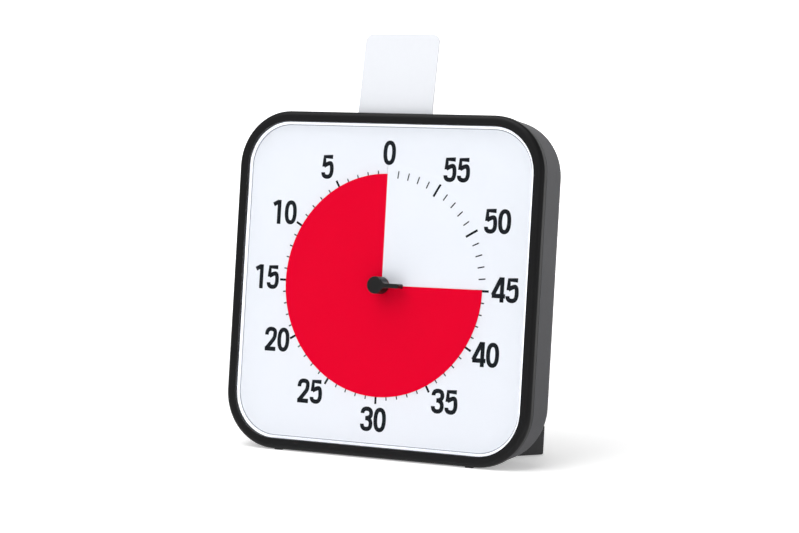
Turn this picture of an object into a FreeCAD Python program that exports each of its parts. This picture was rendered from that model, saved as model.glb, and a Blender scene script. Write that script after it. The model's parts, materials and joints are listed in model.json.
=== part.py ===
import FreeCAD, Part
import math
import os
import Sketcher

# Visual countdown timer, built in the case's own axes: x to the viewer's right, y back from the
# dial's printed face, z up from the dial's centre. Every body is then leaned back and stood on
# the table by one placement. Lengths are in millimetres and angles in degrees.

Vector = FreeCAD.Vector
os.makedirs("parts", exist_ok=True)
document = FreeCAD.newDocument("countdown_timer")
sheet = document.addObject("Spreadsheet::Sheet", "Sizes")
BACK = Vector(0, 1, 0)
FRONT_PLANE = "XZ_Plane"
TOP_PLANE = "XY_Plane"
SIDE_PLANE = "YZ_Plane"


class Size:
    """A number together with the sheet expression that gives it."""

    def __init__(self, value, text):
        self.value = float(value)
        self.text = text

    def __add__(self, other):
        other = as_size(other)
        return Size(self.value + other.value, f"({self.text} + {other.text})")

    def __sub__(self, other):
        other = as_size(other)
        return Size(self.value - other.value, f"({self.text} - {other.text})")

    def __mul__(self, other):
        other = as_size(other)
        return Size(self.value * other.value, f"({self.text} * {other.text})")

    def __truediv__(self, other):
        other = as_size(other)
        return Size(self.value / other.value, f"({self.text} / {other.text})")

    def __neg__(self):
        return Size(-self.value, f"(0 - {self.text})")

    def __radd__(self, other):
        return as_size(other) + self

    def __rsub__(self, other):
        return as_size(other) - self

    def __rmul__(self, other):
        return as_size(other) * self


def as_size(number):
    """Return a plain number as a Size, and a Size as it is."""
    if isinstance(number, Size):
        return number
    return Size(number, repr(float(number)))


def tan(angle):
    """Return the tangent of an angle in degrees."""
    return Size(math.tan(math.radians(angle.value)), f"tan({angle.text} * 1deg)")


def cos(angle):
    """Return the cosine of an angle in degrees."""
    return Size(math.cos(math.radians(angle.value)), f"cos({angle.text} * 1deg)")


def sin(angle):
    """Return the sine of an angle in degrees."""
    return Size(math.sin(math.radians(angle.value)), f"sin({angle.text} * 1deg)")


sheet_rows = []


def size(name, value):
    """Write one driving dimension in the sheet and return it."""
    sheet_rows.append(name)
    row = len(sheet_rows)
    sheet.set(f"A{row}", name.replace("_", " "))
    sheet.set(f"B{row}", repr(float(value)))
    sheet.setAlias(f"B{row}", name)
    return Size(value, f"Sizes.{name}")


# Whole object
lean = size("case_lean", 7)
face_half = size("face_half_width", 95.2)
face_corner = size("face_corner_radius", 31.5)
ground_gap = size("pad_below_face", 0.38)

# Front bezel
bezel_front = size("bezel_front_rise", 3.0)
bezel_back = size("bezel_side_back", 1.8)
bezel_rim = size("bezel_rim_width", 5.8)
opening_corner = size("opening_corner_radius", 25.6)
bezel_edge_round = size("bezel_edge_radius", 2.4)
groove_width = size("parting_groove_width", 1.0)
skirt_wall = size("skirt_wall", 2.0)
skirt_length = size("skirt_length", 3.2)
skirt_step = size("skirt_step_in", 1.6)
fit_gap = size("fit_gap", 0.15)

# Rear shell
shell_front_step = size("shell_step_in", 0.3)
shell_back = size("shell_back_depth", 29.0)
shell_wall = size("shell_wall", 2.4)
shell_taper = size("shell_side_taper", 1.3)
shell_edge_round = size("shell_edge_radius", 8.0)
shell_ground_gap = size("shell_ground_gap", 0.6)

# Dial, film and lens
sheet_thickness = size("dial_sheet_thickness", 0.35)
film_thickness = size("disc_film_thickness", 0.25)
film_clearance = size("disc_film_clearance", 0.1)
film_radius = size("disc_radius", 61.7)
film_side_gap = size("disc_side_gap", 0.9)
flat_blend = size("dial_flat_blend", 4.2)
eye_radius = size("dial_eye_radius", 4.6)
slit_angle = size("slit_angle", 0.5)
slit_gap_angle = size("slit_gap_angle", 0.25)
shown_angle = size("shown_angle", 270)
tray_thickness = size("tray_thickness", 1.5)
well_side_gap = size("tray_well_side_gap", 2.7)
well_depth = size("tray_well_depth", 1.5)
rim_width = size("tray_rim_width", 1.2)
lens_front = size("lens_front_rise", 2.6)
lens_thickness = size("lens_thickness", 1.5)
lens_chamfer = size("lens_chamfer", 1.1)
lens_hole = size("lens_hole_radius", 5.4)

# Knob and spindle
knob_front = size("knob_front_rise", 9.2)
knob_radius = size("knob_hub_radius", 4.8)
knob_arm_reach = size("knob_arm_reach", 14.5)
knob_arm_width = size("knob_arm_width", 2.5)
knob_fillet = size("knob_fillet_radius", 3.0)
knob_lens_gap = size("knob_lens_gap", 0.35)
spindle_radius = size("spindle_radius", 1.5)
running_gap = size("running_gap", 0.06)
disc_hub_radius = size("disc_hub_radius", 4.0)

# Movement
movement_half = size("movement_half_width", 27.0)
movement_depth = size("movement_depth", 13.0)
movement_wall = size("movement_wall", 1.6)
gear_module = size("gear_module", 0.4)
gear_width = size("gear_face_width", 1.6)
wheel_teeth = 60
reduction_teeth = 48
pinion_teeth = 12
train_angle = size("gear_train_angle", 135)
rotor_angle = size("rotor_angle", 60)
pivot_radius = size("pivot_radius", 0.6)

# Battery bay and door
battery_radius = size("battery_radius", 7.1)
battery_length = size("battery_length", 49.0)
battery_z = size("battery_height", -50)
bay_wall = size("bay_wall", 1.6)
bay_end_room = size("bay_end_room", 5.0)
bay_side_room = size("bay_side_room", 0.9)
door_thickness = size("door_thickness", 1.6)
door_margin = size("door_margin", 2.6)

# Swing-out feet
foot_x = size("foot_hinge_x", 49.5)
foot_back = size("foot_hinge_depth", 27.0)
foot_length = size("foot_length", 39.4)
foot_thickness = size("foot_thickness", 3.8)
foot_barrel = size("foot_barrel_radius", 2.8)
foot_pin_radius = size("foot_pin_radius", 1.2)
foot_splay = size("foot_splay", 45)
foot_top = size("foot_top_height", -71)
foot_tip_drop = size("foot_tip_drop", 1.6)
foot_recess = size("foot_recess_depth", 5.2)
foot_recess_far = size("foot_recess_far_x", 9)
foot_lug = size("foot_lug_height", 3.2)

# Card and its pocket
card_width = size("card_width", 46.3)
card_shown = size("card_shown_height", 44.6)
card_tucked = size("card_tucked_height", 12.8)
card_thickness = size("card_thickness", 0.8)
card_corner = size("card_corner_radius", 4.5)
card_lean = size("card_extra_lean", 5.5)
card_slot_gap = size("card_slot_gap", 0.35)
pocket_wall = size("pocket_wall", 1.2)

# Fasteners, board and small parts
post_inset = size("corner_post_inset", 19.2)
post_radius = size("corner_post_radius", 4.4)
post_split = size("corner_post_split", 14.0)
screw_radius = size("case_screw_radius", 1.4)
screw_head = size("case_screw_head_radius", 2.8)
screw_head_height = size("case_screw_head_height", 2.0)
small_screw = size("small_screw_radius", 1.0)
small_head = size("small_screw_head_radius", 1.9)
small_head_height = size("small_screw_head_height", 1.3)
pad_x = size("pad_centre_x", 60)
pad_width = size("pad_width", 4.6)
board_left = size("board_left_x", -82)
board_right = size("board_right_x", -35)
board_low = size("board_low_height", 4)
board_high = size("board_high_height", 60)
board_depth = size("board_depth", 20.0)
board_thickness = size("board_thickness", 1.6)
volume_x = size("volume_x", -58)
volume_z = size("volume_height", 20)
volume_radius = size("volume_radius", 7.6)
sounder_z = size("sounder_height", 43)
sounder_radius = size("sounder_radius", 10.5)
sound_hole = size("sound_hole_radius", 1.1)

# Places that follow from the sizes above
opening_half = face_half - bezel_rim
twist_radius = film_radius + film_side_gap
flat_radius = twist_radius + flat_blend
well_radius = film_radius + well_side_gap
card_above = face_half + card_shown
card_bottom = face_half - card_tucked
sheet_front = -sheet_thickness / 2
sheet_back = sheet_thickness / 2
film_offset = (sheet_thickness + film_thickness) / 2 + film_clearance
twist_rise = 2 * film_offset
film_float = film_offset * (shown_angle / 180 - 1)
groove_back = bezel_back + groove_width
skirt_outer = face_half - skirt_step
skirt_inner = skirt_outer - skirt_wall
skirt_back = bezel_back + skirt_length
shell_half = face_half - shell_front_step
shell_inside = shell_back - shell_wall
tray_back = sheet_back + tray_thickness
well_floor = sheet_back + well_depth
floor_back = well_floor + tray_thickness
movement_back = floor_back + movement_depth
lens_rest = lens_front - lens_thickness
ground_slope = tan(lean)
ground_low = -(face_half + ground_gap)
cavity_half = shell_half - shell_wall
post_at = face_half - post_inset
bay_low = battery_z - battery_radius - bay_side_room
bay_high = battery_z + battery_radius + bay_side_room
bay_half = battery_length / 2 + bay_end_room
battery_depth = shell_back - door_thickness - bay_side_room - battery_radius
bay_floor = battery_depth - battery_radius - running_gap
recess_floor = shell_back - foot_recess
document.recompute()


def bind(feature, name, number):
    """Drive one property of a feature from the sheet."""
    feature.setExpression(name, as_size(number).text)


def new_body(name):
    """Start the PartDesign body of one piece."""
    return document.addObject("PartDesign::Body", name)


def new_sketch(body, name, plane, at):
    """Attach a sketch to one of the body's own planes, at a distance along its normal."""
    sketch = body.newObject("Sketcher::SketchObject", f"{body.Name}_{name}_sketch")
    base = [item for item in body.Origin.OriginFeatures if item.Role == plane][0]
    sketch.AttachmentSupport = [(base, "")]
    sketch.MapMode = "FlatFace"
    bind(sketch, "AttachmentOffset.Base.z", at)
    return sketch


def pin_point(sketch, shape, point, across, up):
    """Fix one sketch point by its two driven coordinates."""
    for kind, axis, number in (("DistanceX", -2, across), ("DistanceY", -1, up)):
        number = as_size(number)
        if number.value == 0:
            sketch.addConstraint(Sketcher.Constraint("PointOnObject", shape, point, axis))
            continue
        link = sketch.addConstraint(Sketcher.Constraint(kind, -1, 1, shape, point, number.value))
        bind(sketch, f"Constraints[{link}]", number)


def outline(body, name, plane, at, corners):
    """Draw a closed outline of straight lines through driven corners."""
    sketch = new_sketch(body, name, plane, at)
    points = [Vector(as_size(a).value, as_size(b).value, 0) for a, b in corners]
    last = len(points)
    for index in range(last):
        sketch.addGeometry(Part.LineSegment(points[index], points[(index + 1) % last]))
    for index in range(last):
        sketch.addConstraint(Sketcher.Constraint("Coincident", index, 2, (index + 1) % last, 1))
    for index, (across, up) in enumerate(corners):
        pin_point(sketch, index, 1, across, up)
    return sketch


def circles(body, name, plane, at, rounds):
    """Draw circles, each given by its driven centre and radius."""
    sketch = new_sketch(body, name, plane, at)
    for index, (across, up, radius) in enumerate(rounds):
        radius = as_size(radius)
        centre = Vector(as_size(across).value, as_size(up).value, 0)
        sketch.addGeometry(Part.Circle(centre, Vector(0, 0, 1), radius.value))
        link = sketch.addConstraint(Sketcher.Constraint("Radius", index, radius.value))
        bind(sketch, f"Constraints[{link}]", radius)
        pin_point(sketch, index, 3, across, up)
    return sketch


def pad(body, sketch, length, reverse=False):
    """Extrude a sketch along its plane's normal, or against it."""
    feature = body.newObject("PartDesign::Pad", sketch.Name.replace("_sketch", "_pad"))
    feature.Profile = sketch
    feature.Reversed = reverse
    bind(feature, "Length", length)
    document.recompute()
    return feature


def pocket(body, sketch, length, reverse=False):
    """Cut a sketch into the body and make sure that it removes material."""
    before = body.Shape.Volume
    feature = body.newObject("PartDesign::Pocket", sketch.Name.replace("_sketch", "_pocket"))
    feature.Profile = sketch
    feature.Reversed = reverse
    bind(feature, "Length", length)
    document.recompute()
    if body.Shape.Volume >= before:
        raise RuntimeError(f"{feature.Name} cuts nothing")
    return feature


def slab(body, name, front, back, corners):
    """Add a plate between two depths from its outline seen from the front."""
    return pad(body, outline(body, name, FRONT_PLANE, -back, corners), back - front)


def trench(body, name, front, back, corners):
    """Cut an outline seen from the front between two depths."""
    return pocket(body, outline(body, name, FRONT_PLANE, -front, corners), back - front)


def rod(body, name, front, back, rounds):
    """Add round bars between two depths."""
    return pad(body, circles(body, name, FRONT_PLANE, -back, rounds), back - front)


def drill(body, name, front, back, rounds):
    """Cut round holes between two depths."""
    return pocket(body, circles(body, name, FRONT_PLANE, -front, rounds), back - front)


def turned(body, name, corners):
    """Revolve a profile of (radius, depth) corners about the body's y axis."""
    sketch = outline(body, name, TOP_PLANE, 0, corners)
    feature = body.newObject("PartDesign::Revolution", sketch.Name.replace("_sketch", "_turn"))
    feature.Profile = sketch
    feature.ReferenceAxis = (sketch, ["V_Axis"])
    document.recompute()
    return feature


def square(half, low=None):
    """Return the corners of a centred square, or of one with its own lower side."""
    low = -half if low is None else low
    return [(-half, low), (half, low), (half, half), (-half, half)]


def box_outline(left, right, low, high):
    """Return the corners of a rectangle."""
    return [(left, low), (right, low), (right, high), (left, high)]


def round_edges(body, name, radius, wanted, kind="PartDesign::Fillet"):
    """Round, or chamfer, the edges of the body's last feature that a test picks."""
    base = body.Tip
    picked = []
    for index, edge in enumerate(base.Shape.Edges):
        if wanted(edge):
            picked.append(f"Edge{index + 1}")
    if not picked:
        raise RuntimeError(f"{name} finds no edge")
    feature = body.newObject(kind, f"{body.Name}_{name}")
    feature.Base = (base, picked)
    bind(feature, "Radius" if kind.endswith("Fillet") else "Size", radius)
    document.recompute()
    return feature


def middle(edge):
    """Return the point halfway along an edge."""
    return edge.valueAt((edge.FirstParameter + edge.LastParameter) / 2)


def runs_back(edge, least=0.2):
    """Tell whether an edge runs mostly front to back."""
    start = edge.Vertexes[0].Point
    end = edge.Vertexes[-1].Point
    span = end - start
    return abs(span.y) > least and abs(span.y) > 5 * max(abs(span.x), abs(span.z))


def at_depth(edge, depth, tolerance=0.02):
    """Tell whether a whole edge lies at one depth."""
    box = edge.BoundBox
    depth = as_size(depth).value
    return abs(box.YMin - depth) < tolerance and abs(box.YMax - depth) < tolerance


def reach(edge):
    """Return how far the middle of an edge lies from the dial's axis, as a square's half-size."""
    point = middle(edge)
    return max(abs(point.x), abs(point.z))


def case_text():
    """Return the placement that leans the case back and stands it on the table."""
    turn = f"create(<<rotation>>; create(<<vector>>; 1; 0; 0); 0 - {lean.text})"
    lift = -ground_low * cos(lean)
    move = f"create(<<vector>>; 0; {stand_back.text}; {lift.text})"
    return f"create(<<placement>>; {move}; {turn})"


def local_text(x=0, y=0, z=0, axis=(0, 0, 1), angle=0):
    """Return a placement inside the case's axes."""
    spot = "; ".join(as_size(number).text for number in (x, y, z))
    way = "; ".join(str(number) for number in axis)
    turn = f"create(<<rotation>>; create(<<vector>>; {way}); {as_size(angle).text})"
    return f"create(<<placement>>; create(<<vector>>; {spot}); {turn})"


# The footprint is centred on the row's origin from its front edge and the feet's rear ends
foot_tip_back = foot_back + foot_length * sin(foot_splay) + foot_thickness / 2 * cos(foot_splay)
rear_reach = foot_tip_back * cos(lean) + (foot_top - foot_tip_drop) * sin(lean)
front_reach = bezel_front * cos(lean) + (face_half - bezel_edge_round) * sin(lean)
stand_back = (front_reach - rear_reach) / 2
pieces = {}


def keep(node, item, local=None):
    """Place a finished piece in the world and list it for export."""
    text = case_text()
    if local:
        text = f"{text} * {local}"
    item.setExpression("Placement", text)
    pieces[node] = item
    return item


def keep_shape(node, shape, local=None):
    """List a piece whose form was worked out in Python."""
    feature = document.addObject("Part::Feature", node)
    feature.Shape = shape
    return keep(node, feature, local)


def gather(node, items):
    """Join placed copies of one small part in one node."""
    group = document.addObject("Part::Compound", node)
    group.Links = items
    pieces[node] = group
    return group


def front_bezel():
    """Square ring with a rounded outer edge and a skirt that enters the rear shell."""
    body = new_body("front_bezel")
    slab(body, "face", -bezel_front, bezel_back, square(face_half))
    round_edges(body, "corners", face_corner, runs_back)
    round_edges(body, "edge", bezel_edge_round, lambda edge: at_depth(edge, -bezel_front))
    ring = new_body("bezel_skirt")
    slab(ring, "skirt", bezel_back, skirt_back, square(skirt_outer))
    round_edges(ring, "corners", face_corner - skirt_step, runs_back)
    window = new_body("bezel_window")
    slab(window, "opening", -bezel_front - 1, skirt_back + 1, square(opening_half))
    round_edges(window, "corners", opening_corner, runs_back)
    seat = new_body("bezel_seat")
    slab(seat, "step", sheet_front, skirt_back + 1, square(skirt_inner))
    round_edges(seat, "corners", face_corner - skirt_step - skirt_wall, runs_back)
    notch = new_body("bezel_card_notch")
    half = card_width / 2 + pocket_wall + fit_gap * 2
    slab(notch, "notch", bezel_back, skirt_back + 1,
         box_outline(-half, half, skirt_inner - 1, skirt_outer + 1))
    pad_nest = new_body("bezel_pad_nests")
    nest_half = pad_width / 2 + fit_gap
    for side in (-1, 1):
        slab(pad_nest, f"nest_{side + 1}", -pad_front, bezel_back - pad_edge,
             box_outline(side * pad_x - nest_half, side * pad_x + nest_half,
                         -face_half - 1, -face_half + pad_sink))
    whole = document.addObject("Part::MultiFuse", "bezel_whole")
    whole.Shapes = [body, ring]
    tools = document.addObject("Part::MultiFuse", "bezel_tools")
    tools.Shapes = [window, seat, notch, pad_nest]
    cut = document.addObject("Part::Cut", "front_bezel_cut")
    cut.Base = whole
    cut.Tool = tools
    keep("front_bezel", cut)


pad_front = size("pad_front_depth", 1.2)
pad_edge = size("pad_edge_margin", 0.4)
pad_sink = size("pad_sink", 0.8)


def front_pads():
    """Two small rubber pads let into the bezel's lower edge, their soles on the table."""
    items = []
    for side in (-1, 1):
        body = new_body(f"front_pad_{side + 1}")
        sole = outline(body, "side", SIDE_PLANE, side * pad_x - pad_width / 2, [
            (-pad_front + fit_gap, -face_half + pad_sink),
            (-pad_front + fit_gap, ground_low - (pad_front - fit_gap) * ground_slope),
            (bezel_back - pad_edge - fit_gap,
             ground_low + (bezel_back - pad_edge - fit_gap) * ground_slope),
            (bezel_back - pad_edge - fit_gap, -face_half + pad_sink)])
        pad(body, sole, pad_width)
        body.setExpression("Placement", case_text())
        items.append(body)
    gather("front_pads", items)


def rear_shell():
    """Deep back cover: tapered walls, posts, battery bay, foot recesses and openings."""
    body = new_body("rear_shell")
    front_low = ground_low + groove_back * ground_slope + shell_ground_gap
    back_low = ground_low + shell_back * ground_slope + shell_ground_gap
    back_half = shell_half - shell_taper
    tapered_block(body, (groove_back, shell_half, front_low), (shell_back, back_half, back_low),
                  face_corner - shell_front_step)
    round_edges(body, "back_edge", shell_edge_round, lambda edge: at_depth(edge, shell_back))
    hollow = new_body("shell_hollow")
    wall = shell_wall
    tapered_block(hollow, (groove_back, shell_half - wall, front_low + wall),
                  (shell_inside, back_half - wall, back_low + wall),
                  face_corner - shell_front_step - wall)
    take_away(body, "hollow", hollow)
    rabbet = new_body("shell_rabbet")
    slab(rabbet, "step", groove_back - 1, skirt_back, square(skirt_outer + fit_gap))
    round_edges(rabbet, "corners", face_corner - skirt_step + fit_gap, runs_back)
    take_away(body, "rabbet", rabbet)
    add_posts(body)
    add_bay(body)
    for side in (-1, 1):
        add_foot_recess(body, side)
    add_openings(body)
    keep("rear_shell", body)


def tapered_block(body, near, far, corner):
    """Add a block whose sides and lower face slope between two (depth, half, low) ends."""
    front, front_half, front_low = near
    rear, rear_half, rear_low = far
    side = outline(body, "side", SIDE_PLANE, -front_half, [
        (front, front_low), (rear, rear_low), (rear, rear_half), (front, front_half)])
    pad(body, side, front_half * 2)
    for way in (-1, 1):
        wedge = outline(body, f"wedge_{way + 1}", TOP_PLANE, front_low - 1, [
            (way * front_half, front), (way * (front_half + 1), front),
            (way * (front_half + 1), rear), (way * rear_half, rear)])
        pocket(body, wedge, front_half * 2 + 2, reverse=True)
    round_edges(body, "corners", corner, runs_back)


def take_away(body, name, tool):
    """Cut another body from this one."""
    feature = body.newObject("PartDesign::Boolean", f"{body.Name}_{name}")
    feature.setObjects([tool])
    feature.Type = "Cut"
    document.recompute()
    return feature


def corner_spots(at):
    """Return the four corner positions at one distance from both mid-lines."""
    return [(-at, -at), (at, -at), (at, at), (-at, at)]


def board_spots():
    """Return the circuit board's four screw positions."""
    edge = board_margin
    return [(board_left + edge, board_low + edge), (board_right - edge, board_low + edge),
            (board_right - edge, board_high - edge), (board_left + edge, board_high - edge)]


board_margin = size("board_screw_margin", 3.4)
board_post = size("board_post_radius", 2.6)
head_room = size("screw_head_room", 0.5)
counterbore = size("counterbore_depth", 9.0)


def add_posts(body):
    """Add the corner screw posts and the board's posts to the rear shell."""
    spots = corner_spots(post_at)
    rod(body, "corner_posts", post_split, shell_inside,
        [(x, z, post_radius) for x, z in spots])
    drill(body, "screw_holes", post_split - 1, shell_back + 1,
          [(x, z, screw_radius + fit_gap) for x, z in spots])
    drill(body, "counterbores", shell_back - counterbore, shell_back + 1,
          [(x, z, screw_head + head_room) for x, z in spots])
    rod(body, "board_posts", board_depth + board_thickness, shell_inside,
        [(x, z, board_post) for x, z in board_spots()])
    drill(body, "board_pilots", board_depth + board_thickness - 1, shell_inside - 1,
          [(x, z, small_screw) for x, z in board_spots()])


def add_bay(body):
    """Add the walled battery bay, open at the back under its door."""
    slab(body, "bay_block", bay_floor - bay_wall, shell_inside,
         box_outline(-bay_half - bay_wall, bay_half + bay_wall,
                     bay_low - bay_wall, bay_high + bay_wall))
    trench(body, "bay", bay_floor, shell_back + 1,
           box_outline(-bay_half, bay_half, bay_low, bay_high))
    trench(body, "door_seat", shell_back - door_thickness, shell_back + 1,
           box_outline(-bay_half - door_margin, bay_half + door_margin,
                       bay_low - door_margin, bay_high + door_margin))


recess_outer = size("foot_recess_outer_room", 6.2)
recess_pan = size("foot_recess_pan", 1.8)
recess_above = size("foot_recess_above", 0.4)


def add_foot_recess(body, side):
    """Sink a recess for one folded foot in the back, with a lug under its hinge barrel."""
    near = side * foot_recess_far
    far = side * (foot_x + recess_outer)
    high = foot_top + recess_above
    low = ground_low + shell_back * ground_slope + shell_ground_gap + shell_wall
    label = f"foot_{side + 1}"
    pan = side * recess_pan
    slab(body, f"{label}_pan", recess_floor - recess_pan, shell_inside,
         box_outline(near - pan, far + pan, low, high + recess_pan))
    trench(body, f"{label}_recess", recess_floor, shell_back + 1,
           box_outline(near, far, -face_half - 1, high))
    lug_low = foot_low + foot_barrel_gap
    hinge = side * foot_x
    lug = foot_barrel
    rod_up(body, f"{label}_lug", lug_low, lug_low + foot_lug, [(hinge, foot_back, lug)])
    slab_up(body, f"{label}_lug_arm", lug_low, lug_low + foot_lug,
            box_outline(hinge - lug, hinge + lug, recess_floor - recess_pan / 2, foot_back))
    hole = circles(body, f"{label}_pin_hole", TOP_PLANE, lug_low - 1,
                   [(hinge, foot_back, foot_pin_radius)])
    pocket(body, hole, pin_top - lug_low + 1, reverse=True)


foot_barrel_gap = size("foot_lug_rise", 2.2)
pin_bite = size("foot_pin_bite", 1.2)
foot_low = ground_low + foot_back * ground_slope
pin_top = foot_top + recess_above + pin_bite


def rod_up(body, name, low, high, rounds):
    """Add upright round bars between two heights."""
    return pad(body, circles(body, name, TOP_PLANE, low, rounds), high - low)


def slab_up(body, name, low, high, corners):
    """Add an upright block between two heights from its outline seen from above."""
    return pad(body, outline(body, name, TOP_PLANE, low, corners), high - low)


hanger_z = size("hanger_height", 60)
hanger_radius = size("hanger_radius", 4.2)
hanger_slot = size("hanger_slot_width", 4.4)
hanger_rise = size("hanger_slot_rise", 9.0)
volume_gap = size("volume_hole_gap", 0.5)
sound_ring = size("sound_ring_radius", 5.0)
sound_count = 6


def add_openings(body):
    """Cut the card slot, the hanger, the volume opening and the sound holes."""
    slot_half = card_width / 2 + pocket_wall + fit_gap * 2
    trench(body, "card_slot", groove_back - 1, card_slot_back,
           box_outline(-slot_half, slot_half, cavity_half - 1, shell_half + 1))
    drill(body, "hanger_hole", shell_inside - 1, shell_back + 1, [(0, hanger_z, hanger_radius)])
    half = hanger_slot / 2
    trench(body, "hanger_slot", shell_inside - 1, shell_back + 1,
           box_outline(-half, half, hanger_z, hanger_z + hanger_rise))
    drill(body, "volume_hole", shell_inside - 1, shell_back + 1,
          [(volume_x, volume_z, volume_radius + volume_gap)])
    drill(body, "sound_hole", shell_inside - 1, shell_back + 1,
          [(volume_x, sounder_z, sound_hole)])
    first = circles(body, "sound_ring", FRONT_PLANE, -shell_back - 1,
                    [(volume_x + sound_ring, sounder_z, sound_hole)])
    ring = [first]
    for index in range(1, sound_count):
        turn = as_size(index * 360 / sound_count)
        ring.append(circles(body, f"sound_ring_{index}", FRONT_PLANE, -shell_back - 1,
                            [(volume_x + sound_ring * cos(turn),
                              sounder_z + sound_ring * sin(turn), sound_hole)]))
    for hole in ring:
        pocket(body, hole, shell_wall + 2, reverse=True)


card_front = size("card_front_at_top", 3.1)
card_slot_back = size("card_slot_back", 5.2)
pocket_low = size("pocket_floor_height", 81.2)


def card_depth(height):
    """Return the depth of the card's front face at a height in the case's axes."""
    return card_front + (height - shell_half) * tan(card_lean)


def message_card():
    """Stiff write-on card with rounded top corners, leaning back a little more than the case."""
    body = new_body("message_card")
    half = card_width / 2
    slab(body, "card", 0, card_thickness,
         box_outline(-half, half, 0, (card_above - card_bottom) / cos(card_lean)))
    tall = (card_above - card_bottom).value / 2
    round_edges(body, "corners", card_corner,
                lambda edge: runs_back(edge) and middle(edge).z > tall)
    keep("message_card", body, local_text(0, card_depth(card_bottom), card_bottom,
                                          (1, 0, 0), -card_lean))


def card_pocket():
    """Open-topped holder behind the dial tray that keeps the card's lower end."""
    body = new_body("card_pocket")
    half = card_width / 2 + fit_gap
    outer = half + pocket_wall
    back_low = card_depth(pocket_low) + card_thickness + card_slot_gap
    back_high = card_depth(shell_half) + card_thickness + card_slot_gap
    side = outline(body, "side", SIDE_PLANE, -outer, [
        (tray_back, pocket_low), (back_low + pocket_wall, pocket_low),
        (back_high + pocket_wall, skirt_inner - 1), (tray_back, skirt_inner - 1)])
    pad(body, side, outer * 2)
    floor = card_bottom - card_thickness * sin(card_lean)
    room = outline(body, "room", SIDE_PLANE, -half, [
        (tray_back - 1, floor), (back_low, floor),
        (back_high, skirt_inner), (tray_back - 1, skirt_inner)])
    pocket(body, room, half * 2, reverse=True)
    keep("card_pocket", body)


def lens():
    """Clear cover let into the bezel, with a chamfered rim and a hole for the knob."""
    body = new_body("lens")
    slab(body, "plate", -lens_front, -lens_rest, square(opening_half - fit_gap))
    round_edges(body, "corners", opening_corner - fit_gap, runs_back)
    round_edges(body, "rim", lens_chamfer, lambda edge: at_depth(edge, -lens_front),
                "PartDesign::Chamfer")
    drill(body, "hole", -lens_front - 1, 1, [(0, 0, lens_hole)])
    round_edges(body, "hole_edge", lens_hole_chamfer,
                lambda edge: at_depth(edge, -lens_front) and reach(edge) < lens_hole.value + 1,
                "PartDesign::Chamfer")
    keep("lens", body)


lens_hole_chamfer = size("lens_hole_chamfer", 0.5)


def twist_curve(radius, rise, start, end, spans, drop=0):
    """Return a curve about the dial's axis that climbs evenly towards the viewer."""
    points = []
    for index in range(spans + 1):
        angle = start + (end - start) * index / spans
        share = angle / (2 * math.pi) - 0.5
        turn = angle + math.radians(slit_angle.value)
        points.append(Vector(-radius * math.sin(turn), drop - rise * share,
                             radius * math.cos(turn)))
    curve = Part.BSplineCurve()
    curve.interpolate(points)
    return curve.toShape()


CURVE_SPANS = 12


def dial_sheet():
    """Printed dial: flat outside, twisted evenly inside so that the film can pass its slit."""
    gap = math.radians(slit_gap_angle.value)
    ends = (gap, 2 * math.pi - gap)
    top = -sheet_thickness.value / 2
    inner = twist_curve(eye_radius.value, twist_rise.value, *ends, CURVE_SPANS, top)
    outer = twist_curve(twist_radius.value, twist_rise.value, *ends, CURVE_SPANS, top)
    calm = twist_curve(flat_radius.value, 0, *ends, CURVE_SPANS, top)
    thick = BACK * sheet_thickness.value
    twist = Part.makeRuledSurface(inner, outer).extrude(thick)
    blend = Part.makeRuledSurface(outer, calm).extrude(thick)
    first = calm.Vertexes[0].Point
    last = calm.Vertexes[-1].Point
    eye = Part.Wire([calm, Part.makeLine(last, first)])
    flat = Part.Face([rounded_wire(opening_half - fit_gap * 2, opening_corner, top), eye])
    keep_shape("dial_sheet", twist.fuse([blend, flat.extrude(thick)]).Solids[0])


def rounded_wire(half, corner, depth):
    """Return a rounded square seen from the front, at one depth."""
    half = half.value
    corner = corner.value
    near = half - corner
    diagonal = near + corner * math.sin(math.pi / 4)
    edges = []
    for quarter in range(4):
        turn = FreeCAD.Rotation(BACK, quarter * 90)
        points = [Vector(-near, depth, half), Vector(near, depth, half),
                  Vector(diagonal, depth, diagonal), Vector(half, depth, near)]
        points = [turn.multVec(point) for point in points]
        edges.append(Part.makeLine(points[0], points[1]))
        edges.append(Part.Arc(points[1], points[2], points[3]).toShape())
    return Part.Wire(Part.__sortEdges__(edges))


def red_disc():
    """Coloured film, one even twist from its leading edge to its trailing edge."""
    cut_angle = math.radians(film_cut_angle.value)
    shown = math.radians(shown_angle.value)
    rise = twist_rise.value
    middle_shift = -film_offset.value - film_thickness.value / 2
    ends = (shown - 2 * math.pi + cut_angle, shown)
    inner = twist_curve(disc_hub_radius.value, rise, *ends, CURVE_SPANS, middle_shift)
    outer = twist_curve(film_radius.value, rise, *ends, CURVE_SPANS, middle_shift)
    film = Part.makeRuledSurface(inner, outer).extrude(BACK * film_thickness.value)
    keep_shape("red_disc", film)


film_cut_angle = size("film_cut_angle", 1.0)
hub_margin = size("disc_hub_margin", 0.1)
flat_depth = size("spindle_flat_depth", 0.4)


def disc_hub():
    """Small collar that carries the film and slides on the spindle's flat."""
    body = new_body("disc_hub")
    margin = film_thickness / 2 + hub_margin
    front = -(film_float + twist_rise / 2 + margin)
    back = twist_rise / 2 - film_float + margin
    rod(body, "collar", front, back, [(0, 0, disc_hub_radius)])
    bore = spindle_radius + running_gap
    drill(body, "bore", front - 1, back + 1, [(0, 0, bore)])
    key = spindle_radius - flat_depth + running_gap
    slab(body, "key", front, back, box_outline(key, bore + 1, -bore, bore))
    keep("disc_hub", body)


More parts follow.
